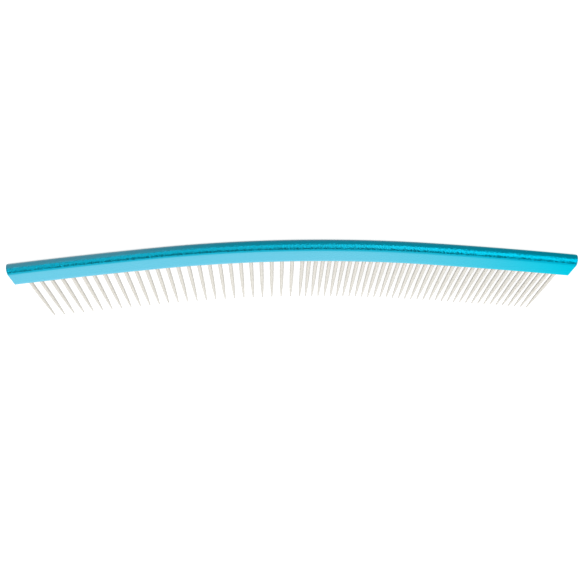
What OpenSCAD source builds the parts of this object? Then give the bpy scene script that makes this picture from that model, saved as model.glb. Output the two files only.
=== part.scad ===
// Curved grooming comb. A solid bar with a rounded back holds one row of round
// tapered teeth, widely spaced over one half of the bar and closely over the other.
//
// The comb lies flat. +X runs along the spine towards the widely spaced teeth, +Y
// points from the spine to the tooth tips, and +Z points up out of the flat face.
// The origin is at the centre of the comb's outline, on the surface it lies on.

/* [Spine] */
// Thickness of the bar, and so the diameter of its rounded back
spine_thickness = 5.5; // [4.6:0.1:7]
// Depth of the bar from its toothed edge to its rounded back
spine_depth = 12.1; // [11:0.1:16]
// Radius of the toothed edge over its middle stretch
mid_radius = 350; // [300:5:450]
// Angle that the middle stretch turns through on each side of the centre
mid_turn = 9.6; // [6:0.1:10]
// Radius of the toothed edge towards both ends, where the bar is straighter
end_radius = 1150; // [550:10:1500]
// Half the distance between the two ends of the toothed edge
edge_reach = 121.7; // [121.5:0.1:130]
// Distance from the middle of the toothed edge to the point that the teeth aim at
aim_distance = 410; // [350:5:600]
// Radius of the two corners along the toothed edge
edge_radius = 0.5; // [0.2:0.1:1]
// Width of the bevel across both flat faces at each end of the bar
end_bevel = 0.4; // [0.2:0.1:0.8]

/* [Teeth] */
// Number of widely spaced teeth
coarse_count = 27; // [22:1:27]
// Smallest spacing of the widely spaced teeth, next to the closely spaced ones
coarse_pitch = 4.53; // [4:0.01:4.53]
// How much wider each spacing is than the one before it, out to the end of the bar
coarse_growth = 0.008; // [0:0.001:0.008]
// Number of closely spaced teeth
fine_count = 37; // [32:1:37]
// Spacing of the closely spaced teeth
fine_pitch = 3.06; // [2.6:0.02:3.06]
// Spacing between the last widely spaced tooth and the first closely spaced one
changeover_pitch = 2.9; // [2.6:0.1:4]
// Distance from the middle of the bar to the last widely spaced tooth
changeover = 4.2; // [0:0.2:4.2]
// Length of a tooth outside the bar
tooth_length = 37.5; // [25:0.5:45]
// Diameter of a tooth where it enters the bar
tooth_diameter = 1.7; // [1.2:0.05:1.8]
// Diameter of the ball that ends each tooth
tip_diameter = 0.56; // [0.4:0.02:0.8]
// How late the taper comes: 1 tapers evenly, and more keeps the tooth thick for longer
taper_power = 3.2; // [1:0.1:4]
// Length of a tooth's shank inside the bar
shank_length = 7; // [5:0.25:7]

/* [Hidden] */
// Distance between the bottom of a drilled hole and the end of the shank in it
hole_spare = 0.3;
// Angle of the drill's point, from side to side
drill_point_angle = 118;
// Chamfer at the inner end of a shank
shank_chamfer = 0.15;
// Bands that make up a tooth's taper, and degrees between points of its ball end
taper_bands = 9;
ball_step = 15;
// Overlap that carries a cutting tool clear of a surface
clear = 1;
// Least length of bar that each end cut takes off
cut_off = 3;

tooth_radius = tooth_diameter / 2;
tip_radius = tip_diameter / 2;
taper_length = tooth_length - tip_radius;

// The end stretches turn through a round number of tenths of a degree.
back_radius = spine_thickness / 2;
mid_reach = mid_radius * sin(mid_turn);
mid_centre = [0, mid_radius];
end_centre = mid_centre + (end_radius - mid_radius) * [-sin(mid_turn), cos(mid_turn)];
edge_turn = asin((edge_reach + cut_off - end_centre[0]) / end_radius);
end_turn = ceil((edge_turn - mid_turn) * 10) / 10;

// The outline runs from the back of the bar to the furthest tooth tip.
furthest_tip = max(tip_reach(coarse_place(1)), tip_reach(fine_place(1)));
centre_y = (furthest_tip - spine_depth) / 2;

coarse_color = [0.83, 0.82, 0.8];
fine_color = [0.79, 0.79, 0.78];

// Point of the toothed edge at a signed distance x from the middle of the bar.
function edge_point(x) =
    abs(x) <= mid_reach
        ? [x, mid_radius - sqrt(pow(mid_radius, 2) - pow(x, 2))]
        : [x, end_centre[1] - sqrt(pow(end_radius, 2) - pow(abs(x) - end_centre[0], 2))];

// Angle between +Y and the line from the toothed edge at x to the point aimed at.
function aim_at(x) = atan2(x, aim_distance - edge_point(x)[1]);

// How far the tip of the tooth at x stands from the middle of the toothed edge.
function tip_reach(x) = edge_point(x)[1] + taper_length * cos(aim_at(x)) + tip_radius;

// Places of the teeth along X, numbered from the outer end of each group. The widely
// spaced ones are on the +X half, apart from the last, which is just past the middle.
function coarse_steps(n) = n * coarse_pitch + n * (n - 1) / 2 * coarse_growth;
function coarse_place(i) = coarse_steps(coarse_count - i) - changeover;
function fine_place(i) = -changeover - changeover_pitch - (fine_count - i) * fine_pitch;

// Radius of a tooth at a share of its tapered length.
function taper_radius(share) =
    tooth_radius - (tooth_radius - tip_radius) * pow(share, taper_power);

function two_digits(i) = str(i < 10 ? "0" : "", i);
function coarse_name(i) = str("coarse_tooth_", two_digits(i));
function fine_name(i) =
    i < fine_count
        ? str("fine_teeth_", two_digits(i), "_", two_digits(i + 1))
        : str("fine_tooth_", two_digits(i));

// Coordinates rounded to hundredths of a millimetre.
function rounded(v) = [for (x = v) round(x * 100) / 100];

// Moves its children in two steps, a rounded one and the small rest, so that far-off
// centres keep every digit and the arcs of the bar meet without a gap.
module exactly_at(v) {
    translate(rounded(v)) translate(v - rounded(v)) children();
}

// Moves its children from the frame of the middle of the toothed edge to the comb's.
module on_surface() {
    translate([0, -centre_y, spine_thickness / 2]) children();
}

// Puts its children at x on the toothed edge, with +Y towards the point that the teeth
// aim at and the origin at half the bar's thickness.
module at_edge(x) {
    translate([edge_point(x)[0], edge_point(x)[1], 0]) rotate([0, 0, aim_at(x)]) children();
}

// Cross-section of the bar: x is the depth from the toothed edge, y the height.
module spine_section() {
    corner_height = back_radius - edge_radius;
    translate([edge_radius, -back_radius])
        square([spine_depth - edge_radius - back_radius, spine_thickness]);
    translate([0, -corner_height]) square([edge_radius, 2 * corner_height]);
    for (side = [-1, 1]) translate([edge_radius, side * corner_height]) circle(edge_radius, $fn = 32);
    translate([spine_depth - back_radius, 0]) circle(back_radius, $fn = 96);
}

// A stretch of the bar, swept about the local origin between two angles from -Y.
module bar_arc(radius, from_turn, turn) {
    rotate_extrude(start = from_turn - 90, angle = turn, $fn = 1080)
        translate([radius, 0]) spine_section();
}

module end_arc() {
    exactly_at(end_centre) bar_arc(end_radius, mid_turn, end_turn);
}

module solid_bar() {
    translate(mid_centre) bar_arc(mid_radius, -mid_turn, 2 * mid_turn);
    end_arc();
    mirror([1, 0, 0]) end_arc();
}

// Cutter that takes off the end of the bar at +X, in line with the teeth, and bevels
// that end on both of the bar's flat faces.
module end_cutter() {
    side_length = end_bevel * sqrt(2);
    flat_depth = spine_depth - back_radius;
    at_edge(edge_reach) {
        translate([0, -2 * spine_depth, -spine_thickness])
            cube([4 * cut_off, 4 * spine_depth, 2 * spine_thickness]);
        for (side = [-1, 1]) translate([0, 0, side * back_radius])
            rotate([0, 45, 0]) cube([side_length, 2 * flat_depth, side_length], center = true);
    }
}

// A drilled blind hole for one shank, along +Y from inside the bar.
module drill() {
    hole_depth = shank_length + hole_spare;
    point = tooth_radius / tan(drill_point_angle / 2);
    rotate([-90, 0, 0]) rotate_extrude($fn = 48)
        polygon([
            [0, -hole_depth - point],
            [tooth_radius, -hole_depth],
            [tooth_radius, clear],
            [0, clear]
        ]);
}

// One tooth along +Y: a straight shank inside the bar, then a taper to a ball end.
module tooth() {
    taper = [for (band = [0:taper_bands])
        let (share = band / taper_bands)
        [taper_radius(share), share * taper_length]];
    ball = [for (a = [ball_step:ball_step:90])
        [tip_radius * cos(a), taper_length + tip_radius * sin(a)]];
    shank = [
        [0, -shank_length],
        [tooth_radius - shank_chamfer, -shank_length],
        [tooth_radius, shank_chamfer - shank_length]
    ];
    rotate([-90, 0, 0]) rotate_extrude($fn = 48) polygon(concat(shank, taper, ball));
}

module spine() {
    color("deepskyblue") on_surface() difference() {
        solid_bar();
        end_cutter();
        mirror([1, 0, 0]) end_cutter();
        for (i = [1:coarse_count]) at_edge(coarse_place(i)) drill();
        for (i = [1:fine_count]) at_edge(fine_place(i)) drill();
    }
}

module coarse_tooth(i) {
    color(coarse_color) on_surface() at_edge(coarse_place(i)) tooth();
}

// Two neighbouring closely spaced teeth, or the last one alone when their number is odd.
module fine_teeth(i) {
    color(fine_color) on_surface()
        for (k = [i:min(i + 1, fine_count)]) at_edge(fine_place(k)) tooth();
}

spine();
for (i = [1:coarse_count])
    coarse_tooth(i);
for (i = [1:2:fine_count])
    fine_teeth(i);
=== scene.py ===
import math

import bpy
import numpy as np
from mathutils import Matrix, Vector


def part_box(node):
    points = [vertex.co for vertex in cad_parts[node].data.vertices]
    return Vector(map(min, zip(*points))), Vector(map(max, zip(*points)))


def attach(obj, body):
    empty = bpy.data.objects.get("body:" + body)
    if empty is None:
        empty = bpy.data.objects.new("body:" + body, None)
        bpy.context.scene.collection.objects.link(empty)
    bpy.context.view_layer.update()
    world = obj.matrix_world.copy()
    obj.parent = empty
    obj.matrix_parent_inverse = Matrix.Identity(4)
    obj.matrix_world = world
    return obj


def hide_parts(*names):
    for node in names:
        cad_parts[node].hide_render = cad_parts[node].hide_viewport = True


MM = 0.001

# The comb's design, as the CAD model has it, in millimetres and degrees. Places along the
# comb are distances along X from its middle, positive towards the coarse half.
THICKNESS = 5.5
DEPTH = 12.1
MID_RADIUS = 350.0
MID_TURN = 9.6
END_RADIUS = 1150.0
EDGE_REACH = 121.7
AIM_DISTANCE = 410.0
EDGE_RADIUS = 0.5
COARSE_COUNT = 27
COARSE_PITCH = 4.53
COARSE_GROWTH = 0.008
FINE_COUNT = 37
FINE_PITCH = 3.06
CHANGEOVER_PITCH = 2.9
CHANGEOVER = 4.2
TOOTH_LENGTH = 37.5
TOOTH_RADIUS = 0.85
TIP_RADIUS = 0.28
TAPER_POWER = 3.2
SHANK_LENGTH = 7.0
SHANK_CHAMFER = 0.15
HOLE_DEPTH = 7.3
DRILL_POINT_ANGLE = 118.0

# Finish that only the visual model has, in millimetres: the countersink of each hole, the
# gap round each shank, the rounding at both ends of the bar, and the corner radius that the
# section keeps at least where that rounding shrinks it.
COUNTERSINK = 0.1
SOCKET_GAP = 0.015
END_ROUND = 0.12
LEAST_CORNER = 0.1

# Fineness of the meshes.
CELL_STEPS = 6
MARGIN_STEPS = 10
CORNER_STEPS = 5
BACK_STEPS = 36
FACE_STEPS = 6
BEVEL_STEPS = 4
TOOTH_SIDES = 28
TAPER_RINGS = 22
BALL_RINGS = 6

BACK_RADIUS = THICKNESS / 2
TAPER_LENGTH = TOOTH_LENGTH - TIP_RADIUS
MID_REACH = MID_RADIUS * math.sin(math.radians(MID_TURN))
END_CENTRE_X = (MID_RADIUS - END_RADIUS) * math.sin(math.radians(MID_TURN))
END_CENTRE_Y = MID_RADIUS + (END_RADIUS - MID_RADIUS) * math.cos(math.radians(MID_TURN))

# Camera, in metres and degrees: a long lens behind the comb and a little above it, rolled
# nearly upside down so that the rounded back is at the top of the picture.
LENS = 200.0
CAMERA_DISTANCE = 1.432
CAMERA_AZIMUTH = 2.47
CAMERA_ELEVATION = 27.62
CAMERA_ROLL = 180.0 - 2.11
CAMERA_TARGET = Vector((0.0006, 0.0115, 0.00275))

# Floor, in metres. It lies a little below the comb, so that the two faces don't coincide.
FLOOR_HALF_WIDTH = 3.0
FLOOR_DROP = 0.00005

# Directions that the lamps on the far side and on the camera's side face.
TOWARDS_CAMERA_SIDE = (0, -0.49, -0.872)
TOWARDS_FAR_SIDE = (0, 0.848, -0.53)

# Finish of the anodising: noise scales in cycles a metre, and depths in metres.
GRAIN_SCALE = 4200.0
GRAIN_DEPTH = 0.00001
MOTTLE_SCALE = 1300.0
MOTTLE_DEPTH = 0.00022

# Places along X, in metres, between which each layer of painted reflection (a pale veil laid on as a
# coat) grows towards the coarse end.
THIN_PAINTED_VEIL_FROM = -0.13
THIN_PAINTED_VEIL_FULL = -0.01
THICK_PAINTED_VEIL_FROM = -0.01
THICK_PAINTED_VEIL_FULL = 0.09


# --- Shape of the comb -------------------------------------------------------------------

def edge_height(x):
    """Distance of the toothed edge at x from the line through its middle, along Y."""
    if abs(x) <= MID_REACH:
        return MID_RADIUS - math.sqrt(MID_RADIUS ** 2 - x ** 2)
    return END_CENTRE_Y - math.sqrt(END_RADIUS ** 2 - (abs(x) - END_CENTRE_X) ** 2)


def edge_turn(x):
    """Angle of the toothed edge to +X at x, in radians."""
    if abs(x) <= MID_REACH:
        return math.asin(x / MID_RADIUS)
    return math.copysign(math.asin((abs(x) - END_CENTRE_X) / END_RADIUS), x)


def aim_turn(x):
    """Angle to Y, in radians, of the line from the toothed edge at x to the point that the
    teeth and both end faces aim at."""
    return math.atan2(x, AIM_DISTANCE - edge_height(x))


def to_row(x, outward, height, aside=0.0):
    """Row-frame point, in metres. outward runs from the toothed edge at x to the back on the
    line of aim, aside square to that line, and height up from half the bar's thickness."""
    aim = aim_turn(x)
    row_x = x + outward * math.sin(aim) + aside * math.cos(aim)
    row_y = edge_height(x) - outward * math.cos(aim) + aside * math.sin(aim)
    return row_x * MM, row_y * MM + EDGE_Y, height * MM + MID_HEIGHT


def tooth_places():
    """Place of each coarse and of each fine tooth, from the outer end of its group."""
    def coarse_steps(n):
        return n * COARSE_PITCH + n * (n - 1) / 2 * COARSE_GROWTH

    coarse = [coarse_steps(n) - CHANGEOVER for n in range(COARSE_COUNT - 1, -1, -1)]
    first_fine = -CHANGEOVER - CHANGEOVER_PITCH
    fine = [first_fine - n * FINE_PITCH for n in range(FINE_COUNT - 1, -1, -1)]
    return coarse, fine


def new_object(name, vertices, faces, smooth=True):
    mesh = bpy.data.meshes.new(name)
    mesh.from_pydata(vertices, [], faces)
    mesh.validate()
    if smooth:
        mesh.shade_smooth()
    piece = bpy.data.objects.new(name, mesh)
    bpy.context.scene.collection.objects.link(piece)
    return piece


# --- Spine ---------------------------------------------------------------------------------

def section(inset):
    """Outline of the bar's section as (outward, height) points, from the lower corner of
    the toothed edge round the back to its upper corner. inset shrinks it for a bevel."""
    half = BACK_RADIUS - inset
    corner = max(EDGE_RADIUS - inset, LEAST_CORNER)
    back_centre = DEPTH - BACK_RADIUS
    points = []
    for i in range(CORNER_STEPS + 1):
        a = math.pi / 2 * i / CORNER_STEPS
        points.append((inset + corner - corner * math.cos(a), -half + corner - corner * math.sin(a)))
    flat_start = inset + corner
    for i in range(1, FACE_STEPS):
        points.append((flat_start + (back_centre - flat_start) * i / FACE_STEPS, -half))
    for i in range(BACK_STEPS + 1):
        a = -math.pi / 2 + math.pi * i / BACK_STEPS
        points.append((back_centre + half * math.cos(a), half * math.sin(a)))
    lower = points[:CORNER_STEPS + FACE_STEPS]
    points += [(outward, -height) for outward, height in reversed(lower)]
    return points


def cell_edges(places):
    """Places that part the toothed edge into one cell for each tooth."""
    places = sorted(places)
    inner = [(a + b) / 2 for a, b in zip(places, places[1:])]
    first = places[0] - (inner[0] - places[0])
    last = places[-1] + (places[-1] - inner[-1])
    return [first, *inner, last]


def stations(edges):
    """Places of the bar's sections with the inset of each: a rounded edge at both ends, an
    even run over each margin, and the steps of each cell between them."""
    body_end = EDGE_REACH - END_ROUND
    run = list(np.linspace(-body_end, edges[0], MARGIN_STEPS, endpoint=False))
    for a, b in zip(edges, edges[1:]):
        run += list(np.linspace(a, b, CELL_STEPS, endpoint=False))
    run += list(np.linspace(edges[-1], body_end, MARGIN_STEPS + 1))
    angles = [math.pi / 2 * i / BEVEL_STEPS for i in range(BEVEL_STEPS, 0, -1)]
    rounding = [(body_end + END_ROUND * math.sin(a), END_ROUND * (1 - math.cos(a))) for a in angles]
    start = [(-x, inset) for x, inset in rounding]
    return start + [(float(x), 0.0) for x in run] + rounding[::-1]


class SpineMesh:
    """Collects the spine's vertices and faces."""

    def __init__(self):
        self.vertices = []
        self.faces = []

    def point(self, x, outward, height, aside=0.0):
        """Adds a vertex and returns its index."""
        self.vertices.append(to_row(x, outward, height, aside))
        return len(self.vertices) - 1

    def strip(self, ring_a, ring_b, closed=False):
        """Quads between two equally long rows of vertices."""
        count = len(ring_a)
        for i in range(count if closed else count - 1):
            j = (i + 1) % count
            self.faces.append((ring_a[i], ring_b[i], ring_b[j], ring_a[j]))


def add_outline(spine, x, inset):
    """Adds the section at x, stretched because the line of aim isn't square to the bar."""
    stretch = 1 / math.cos(aim_turn(x) - edge_turn(x))
    return [spine.point(x, outward * stretch, height) for outward, height in section(inset)]


def add_edge_column(spine, x, inset, top, bottom):
    """Adds the vertices between top and bottom across the flat of the toothed edge."""
    reach = BACK_RADIUS - max(EDGE_RADIUS, inset + LEAST_CORNER)
    heights = [reach - 2 * reach * i / CELL_STEPS for i in range(1, CELL_STEPS)]
    return [top, *[spine.point(x, inset, height) for height in heights], bottom]


def add_socket(spine, columns, x):
    """Fills one cell of the toothed edge with a countersunk blind hole for a shank."""
    hole = TOOTH_RADIUS + SOCKET_GAP
    point_depth = hole / math.tan(math.radians(DRILL_POINT_ANGLE / 2))
    slant = math.tan(edge_turn(x) - aim_turn(x))
    # The cell's outline comes first, in the order in which its points lie round the hole.
    previous = [column[-1] for column in columns]
    previous += [columns[-1][k] for k in range(CELL_STEPS - 1, 0, -1)]
    previous += [column[0] for column in reversed(columns)]
    previous += [columns[0][k] for k in range(1, CELL_STEPS)]
    count = len(previous)
    depths = (0.0, COUNTERSINK, HOLE_DEPTH / 2, HOLE_DEPTH)
    for depth in depths:
        radius = hole + (COUNTERSINK if depth == 0.0 else 0.0)
        ring = []
        for i in range(count):
            a = math.radians(-135) + 2 * math.pi * i / count
            aside, height = radius * math.cos(a), radius * math.sin(a)
            outward = depth if depth > COUNTERSINK else depth - aside * slant
            ring.append(spine.point(x, outward, height, aside))
        spine.strip(previous, ring, closed=True)
        previous = ring
    apex = spine.point(x, HOLE_DEPTH + point_depth, 0.0)
    spine.faces += [(previous[i], apex, previous[(i + 1) % count]) for i in range(count)]


def build_spine(places):
    """The bar: its swept outline, the toothed edge with a socket for each tooth, and two flat
    end faces."""
    spine = SpineMesh()
    outlines, flats = [], []
    for x, inset in stations(cell_edges(places)):
        ring = add_outline(spine, x, inset)
        outlines.append(ring)
        flats.append(add_edge_column(spine, x, inset, ring[-1], ring[0]))
    for a, b in zip(outlines, outlines[1:]):
        spine.strip(a, b)
    first_cell = BEVEL_STEPS + MARGIN_STEPS
    last_cell = first_cell + CELL_STEPS * len(places)
    for i, (a, b) in enumerate(zip(flats, flats[1:])):
        if not first_cell <= i < last_cell:
            spine.strip(a, b)
    for cell, x in enumerate(sorted(places)):
        low = first_cell + cell * CELL_STEPS
        add_socket(spine, flats[low:low + CELL_STEPS + 1], x)
    spine.faces.append(tuple(reversed(outlines[0] + flats[0][1:-1])))
    spine.faces.append(tuple(outlines[-1] + flats[-1][1:-1]))
    piece = new_object("spine_bar", spine.vertices, spine.faces)
    for end_face in piece.data.polygons[-2:]:
        end_face.use_smooth = False
    return piece


# --- Teeth -----------------------------------------------------------------------------------

def tooth_profile():
    """(radius, distance along the tooth from the toothed edge), from shank end to tip."""
    profile = [
        (TOOTH_RADIUS - SHANK_CHAMFER, -SHANK_LENGTH),
        (TOOTH_RADIUS, SHANK_CHAMFER - SHANK_LENGTH),
        (TOOTH_RADIUS, -SHANK_LENGTH / 2),
    ]
    for i in range(TAPER_RINGS + 1):
        share = i / TAPER_RINGS
        radius = TOOTH_RADIUS - (TOOTH_RADIUS - TIP_RADIUS) * share ** TAPER_POWER
        profile.append((radius, share * TAPER_LENGTH))
    for i in range(1, BALL_RINGS):
        a = math.pi / 2 * i / BALL_RINGS
        profile.append((TIP_RADIUS * math.cos(a), TAPER_LENGTH + TIP_RADIUS * math.sin(a)))
    return profile


def add_tooth(vertices, faces, x):
    """Adds the tooth at x to the lists, turned about its own axis."""
    def ring_point(radius, along, i):
        a = 2 * math.pi * i / TOOTH_SIDES
        vertices.append(to_row(x, -along, radius * math.sin(a), radius * math.cos(a)))
        return len(vertices) - 1

    rings = [[ring_point(radius, along, i) for i in range(TOOTH_SIDES)]
             for radius, along in tooth_profile()]
    for a, b in zip(rings, rings[1:]):
        for i in range(TOOTH_SIDES):
            j = (i + 1) % TOOTH_SIDES
            faces.append((a[i], b[i], b[j], a[j]))
    faces.append(tuple(rings[0]))
    tip = ring_point(0.0, TOOTH_LENGTH, 0)
    faces.extend((rings[-1][i], tip, rings[-1][(i + 1) % TOOTH_SIDES]) for i in range(TOOTH_SIDES))


def build_teeth(name, places):
    """One piece that holds the pins at the given places."""
    vertices, faces = [], []
    for x in places:
        add_tooth(vertices, faces, x)
    return new_object(name, vertices, faces)


# --- Materials ---------------------------------------------------------------------------------

def new_material(name, color, metallic, roughness):
    material = bpy.data.materials.new(name)
    material.use_nodes = True
    shader = material.node_tree.nodes["Principled BSDF"]
    shader.inputs["Base Color"].default_value = (*color, 1)
    shader.inputs["Metallic"].default_value = metallic
    shader.inputs["Roughness"].default_value = roughness
    return material, shader


def add_node(material, kind, **settings):
    node = material.node_tree.nodes.new(kind)
    for key, value in settings.items():
        setattr(node, key, value)
    return node


def noise(material, vector, scale, detail):
    node = add_node(material, "ShaderNodeTexNoise")
    node.inputs["Scale"].default_value = scale
    node.inputs["Detail"].default_value = detail
    material.node_tree.links.new(vector, node.inputs["Vector"])
    return node.outputs["Fac"]


def spread(material, value, low, high, from_low=0.0, from_high=1.0, smooth=False):
    """Maps a value between from_low and from_high onto low to high."""
    node = add_node(material, "ShaderNodeMapRange")
    node.interpolation_type = "SMOOTHSTEP" if smooth else "LINEAR"
    node.inputs["From Min"].default_value = from_low
    node.inputs["From Max"].default_value = from_high
    node.inputs["To Min"].default_value = low
    node.inputs["To Max"].default_value = high
    material.node_tree.links.new(value, node.inputs["Value"])
    return node.outputs["Result"]


def combine(material, operation, a, b):
    """Joins two values with a Math node."""
    node = add_node(material, "ShaderNodeMath", operation=operation)
    material.node_tree.links.new(a, node.inputs[0])
    material.node_tree.links.new(b, node.inputs[1])
    return node.outputs["Value"]


def bump(material, height, depth):
    """A Bump node for a height map that is depth metres high."""
    node = add_node(material, "ShaderNodeBump")
    node.inputs["Strength"].default_value = 1.0
    node.inputs["Distance"].default_value = depth
    material.node_tree.links.new(height, node.inputs["Height"])
    return node


def anodised_blue():
    """Bright blue anodised aluminium: a satin metal with a fine grain, under a coat that paints a
    pale reflection towards the coarse end. It is nearly even on the upper flat face and mottled on
    every other surface."""
    material, shader = new_material("anodised_blue", (0.0, 0.17, 0.24), 1.0, 0.2)
    links = material.node_tree.links
    coords = add_node(material, "ShaderNodeTexCoord").outputs["Object"]
    normal = add_node(material, "ShaderNodeSeparateXYZ")
    links.new(add_node(material, "ShaderNodeNewGeometry").outputs["Normal"], normal.inputs["Vector"])
    grain = noise(material, coords, GRAIN_SCALE, detail=3.0)
    mottle = noise(material, coords, MOTTLE_SCALE, detail=2.0)
    links.new(spread(material, grain, low=0.15, high=0.26), shader.inputs["Roughness"])
    uneven = bump(material, mottle, MOTTLE_DEPTH)
    strength = spread(material, normal.outputs["Z"], 1.0, 0.2, from_low=0.8, smooth=True)
    links.new(strength, uneven.inputs["Strength"])
    fine = bump(material, grain, GRAIN_DEPTH)
    links.new(uneven.outputs["Normal"], fine.inputs["Normal"])
    links.new(fine.outputs["Normal"], shader.inputs["Normal"])
    # The coat added here is a painted reflection, a pale veil of light, not a film on the metal.
    add_painted_reflection(material, shader, coords, normal.outputs["Z"])
    return material


def add_painted_reflection(material, shader, coords, facing_up):
    """Lays a painted reflection on as a coat: a thin pale veil that fades out towards the fine end,
    and a thicker one towards the coarse end, on every surface that doesn't face well upwards. The
    coat's weight and IOR stand in for reflected light, not for a haze that the anodising has."""
    links = material.node_tree.links
    place = add_node(material, "ShaderNodeSeparateXYZ")
    links.new(coords, place.inputs["Vector"])
    along = place.outputs["X"]
    # Painted reflection: the coat's weight grows along X towards the coarse end, and more on
    # surfaces that don't face upwards.
    thin_painted_veil = spread(material, along, 0.0, 1.0, THIN_PAINTED_VEIL_FROM, THIN_PAINTED_VEIL_FULL, smooth=True)
    coarse_end = spread(material, along, 0.0, 1.0, THICK_PAINTED_VEIL_FROM, THICK_PAINTED_VEIL_FULL, smooth=True)
    off_top = spread(material, facing_up, 1.0, 0.0, from_low=0.1, from_high=0.45, smooth=True)
    thick_painted_veil = combine(material, "MULTIPLY", coarse_end, off_top)
    weight = combine(material, "MAXIMUM", spread(material, thin_painted_veil, low=0.0, high=0.3), thick_painted_veil)
    links.new(weight, shader.inputs["Coat Weight"])
    links.new(spread(material, thick_painted_veil, low=1.2, high=1.5), shader.inputs["Coat IOR"])
    shader.inputs["Coat Roughness"].default_value = 0.25
    # Painted reflection colour: the metal's edge reflection is tinted blue-green, with its red cut
    # down, where the thin painted veil is absent towards the fine end, and left white under the
    # veil.
    painted_edge_tint = add_node(material, "ShaderNodeMix", data_type="RGBA")
    painted_edge_tint.inputs["A"].default_value = (0.5, 1.0, 1.0, 1)
    painted_edge_tint.inputs["B"].default_value = (1.0, 1.0, 1.0, 1)
    links.new(thin_painted_veil, painted_edge_tint.inputs["Factor"])
    links.new(painted_edge_tint.outputs["Result"], shader.inputs["Specular Tint"])


def polished_steel():
    """Ground stainless steel, with an even grain."""
    material, shader = new_material("polished_steel", (0.267, 0.256, 0.232), 0.3, 0.5)
    coords = add_node(material, "ShaderNodeTexCoord")
    grain = noise(material, coords.outputs["Object"], scale=3000.0, detail=3.0)
    roughness = spread(material, grain, low=0.5, high=0.6)
    material.node_tree.links.new(roughness, shader.inputs["Roughness"])
    return material


def dress(piece, material):
    """Gives a piece its material and ties it to the comb's one body."""
    piece.data.materials.clear()
    piece.data.materials.append(material)
    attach(piece, "root")


# --- Stage -------------------------------------------------------------------------------------

def add_floor():
    """A plain pale floor that glows a little, as an evenly lit studio sweep does."""
    half = FLOOR_HALF_WIDTH
    outline = ((-half, -half), (half, -half), (half, half), (-half, half))
    corners = [(x, y, -FLOOR_DROP) for x, y in outline]
    floor = new_object("floor", corners, [(0, 1, 2, 3)], smooth=False)
    material, shader = new_material("pale_floor", (0.15, 0.15, 0.15), 0.0, 0.9)
    shader.inputs["Specular IOR Level"].default_value = 0.0
    shader.inputs["Emission Color"].default_value = (1, 1, 1, 1)
    shader.inputs["Emission Strength"].default_value = 0.86
    floor.data.materials.append(material)


def add_panel(name, place, size, radiance, facing=None):
    """A soft rectangular lamp at place, facing the comb if no direction is given. radiance is
    the brightness of its face."""
    light = bpy.data.lights.new(name, "AREA")
    light.shape = "RECTANGLE"
    light.size, light.size_y = size
    light.energy = radiance * math.pi * size[0] * size[1]
    panel = bpy.data.objects.new(name, light)
    panel.location = place
    panel.rotation_mode = "QUATERNION"
    away = Vector(place) - CAMERA_TARGET if facing is None else -Vector(facing)
    panel.rotation_quaternion = away.to_track_quat("Z", "Y")
    bpy.context.scene.collection.objects.link(panel)


def add_world():
    """Soft surroundings, brightest at the horizon."""
    world = bpy.data.worlds.new("studio")
    world.use_nodes = True
    coords = add_node(world, "ShaderNodeTexCoord")
    direction = add_node(world, "ShaderNodeSeparateXYZ")
    world.node_tree.links.new(coords.outputs["Generated"], direction.inputs["Vector"])
    radiance = spread(world, direction.outputs["Z"], 1.2, 0.6, from_low=0.0, from_high=0.7)
    background = world.node_tree.nodes["Background"]
    world.node_tree.links.new(radiance, background.inputs["Strength"])
    background.inputs["Color"].default_value = (1, 1, 1, 1)
    bpy.context.scene.world = world


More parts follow.
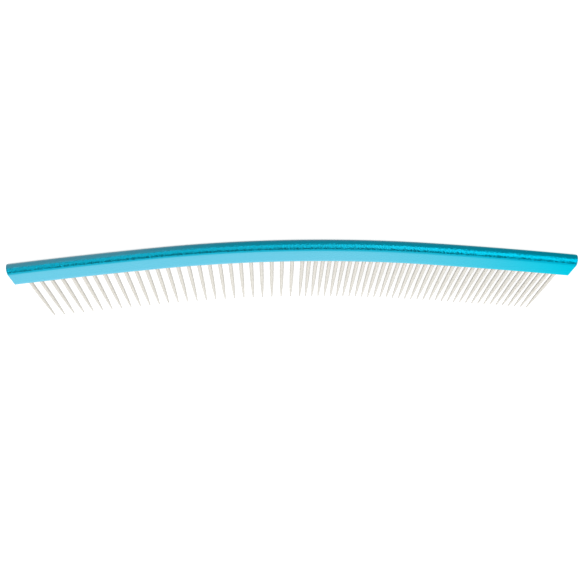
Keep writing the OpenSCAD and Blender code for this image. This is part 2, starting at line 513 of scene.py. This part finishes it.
def add_camera():
    azimuth = math.radians(CAMERA_AZIMUTH)
    elevation = math.radians(CAMERA_ELEVATION)
    away = Vector((
        math.sin(azimuth) * math.cos(elevation),
        -math.cos(azimuth) * math.cos(elevation),
        math.sin(elevation),
    ))
    data = bpy.data.cameras.new("camera")
    data.lens = LENS
    camera = bpy.data.objects.new("camera", data)
    camera.rotation_mode = "QUATERNION"
    roll = Matrix.Rotation(math.radians(CAMERA_ROLL), 3, "Z").to_quaternion()
    camera.rotation_quaternion = away.to_track_quat("Z", "Y") @ roll
    camera.location = CAMERA_TARGET + away * CAMERA_DISTANCE
    bpy.context.scene.collection.objects.link(camera)
    bpy.context.scene.camera = camera


# --- Scene -------------------------------------------------------------------------------------

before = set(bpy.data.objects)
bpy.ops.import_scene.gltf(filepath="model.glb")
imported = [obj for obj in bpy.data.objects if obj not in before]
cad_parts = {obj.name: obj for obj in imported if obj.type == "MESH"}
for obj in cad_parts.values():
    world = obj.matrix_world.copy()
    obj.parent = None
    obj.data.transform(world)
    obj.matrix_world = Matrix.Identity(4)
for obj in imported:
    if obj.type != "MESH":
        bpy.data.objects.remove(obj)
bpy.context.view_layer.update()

# Where the middle of the toothed edge and half the bar's thickness lie in the frame.
spine_low, spine_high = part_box("spine")
EDGE_Y = spine_low.y + DEPTH * MM
MID_HEIGHT = (spine_low.z + spine_high.z) / 2

coarse_places, fine_places = tooth_places()
anodised = anodised_blue()
steel = polished_steel()

bar = build_spine(coarse_places + fine_places)
dress(bar, anodised)
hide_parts("spine")

for i, x in enumerate(coarse_places, start=1):
    tooth = build_teeth(f"coarse_pin_{i:02d}", [x])
    dress(tooth, steel)
    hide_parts(f"coarse_tooth_{i:02d}")

for i in range(1, FINE_COUNT + 1, 2):
    pair = fine_places[i - 1:i + 1]
    node = f"fine_teeth_{i:02d}_{i + 1:02d}" if len(pair) == 2 else f"fine_tooth_{i:02d}"
    teeth = build_teeth(node.replace("teeth", "pins").replace("tooth", "pin"), pair)
    dress(teeth, steel)
    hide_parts(node)

add_floor()
add_world()
add_panel("far_side", (0.0, 0.91, 0.83), (4.6, 1.9), 2.15, TOWARDS_CAMERA_SIDE)
add_panel("camera_side_coarse", (0.42, -1.48, 0.93), (1.75, 2.0), 1.6, TOWARDS_FAR_SIDE)
add_panel("camera_side_fine", (-1.2, -1.48, 0.93), (1.5, 2.0), 3.4, TOWARDS_FAR_SIDE)
add_panel("fine_end", (-1.3, 0.0, 0.9), (1.6, 1.2), 2.2)
add_panel("coarse_end", (1.3, 0.0, 0.9), (1.6, 1.2), 4.4)
add_camera()
bpy.context.scene.view_settings.view_transform = "Standard"
